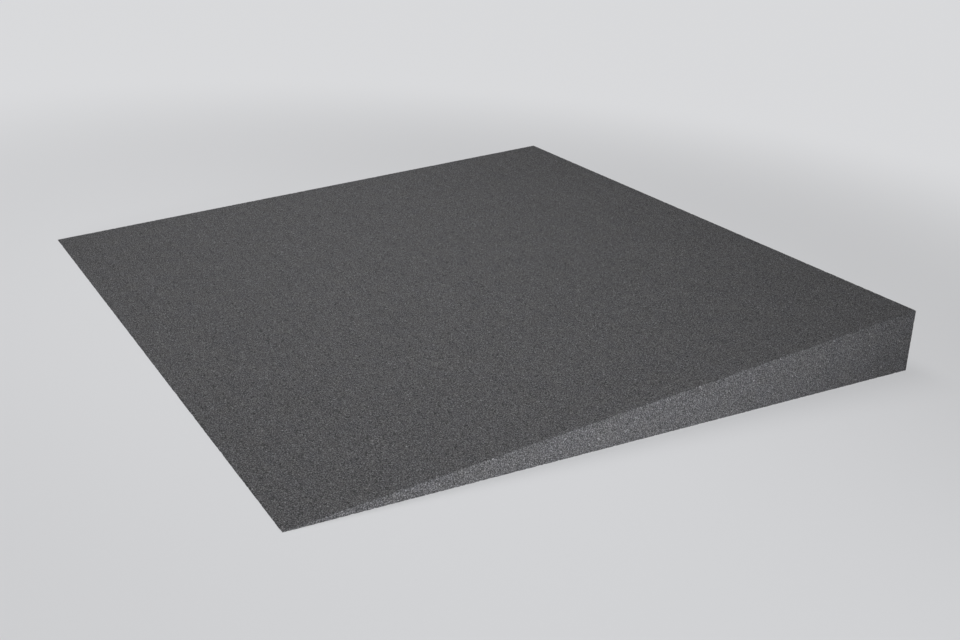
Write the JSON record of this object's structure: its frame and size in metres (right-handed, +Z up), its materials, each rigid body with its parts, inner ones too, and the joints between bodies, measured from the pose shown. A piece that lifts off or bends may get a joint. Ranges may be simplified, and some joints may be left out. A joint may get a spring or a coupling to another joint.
{
  "type": "eps foam wedge",
  "caption": "Square graphite-grey expanded-polystyrene foam wedge that tapers from a thick end to a feather edge, for giving a slope or levelling what rests on it.",
  "frame": {"origin": "middle of the base, on the surface that the wedge lies on", "axes": "+X from the feather edge towards the thick end, +Y across the width, +Z up from the base"},
  "size_m": [0.603, 0.6, 0.0597],
  "materials": {
    "graphite_eps": "hot-wire-cut bead foam, matt with fine open grain and small glints"
  },
  "bodies": {
    "root": {"foam_wedge": "graphite_eps"}
  },
  "joints": []
}
